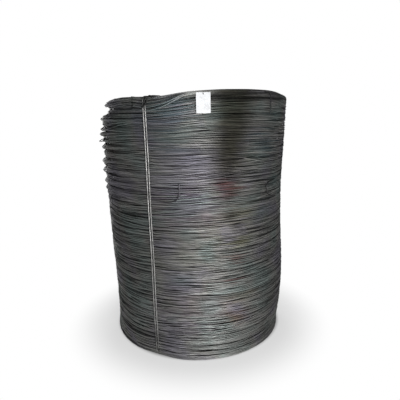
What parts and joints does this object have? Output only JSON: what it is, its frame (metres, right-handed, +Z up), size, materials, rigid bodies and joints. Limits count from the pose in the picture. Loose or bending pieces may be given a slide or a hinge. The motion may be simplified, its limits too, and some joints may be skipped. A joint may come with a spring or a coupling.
{
  "type": "coil of wire rod",
  "caption": "Coil of hot-rolled steel wire rod standing on its end, with an open bore, doubled tie wires with hooked ends, and a blank tag hung from a thin wire.",
  "frame": {"origin": "centre of the bore in the plane of the foot end, on the floor", "axes": "+Z up along the bore axis, -Y towards the side that carries the tag, +X to the right as seen from that side"},
  "size_m": [1.2577, 1.2525, 1.6918],
  "materials": {
    "mill_scale_steel": "blue-grey mill scale, as rolled",
    "tie_wire_steel": "drawn wire, scale rubbed off",
    "tag_sheet": "white, matte, blank",
    "binding_wire": "annealed black wire"
  },
  "bodies": {
    "root": {"rod_coil": "mill_scale_steel", "tie_front": "tie_wire_steel", "tie_right": "tie_wire_steel", "tie_back": "tie_wire_steel", "tag": "tag_sheet", "tag_wire": "binding_wire"}
  },
  "joints": []
}
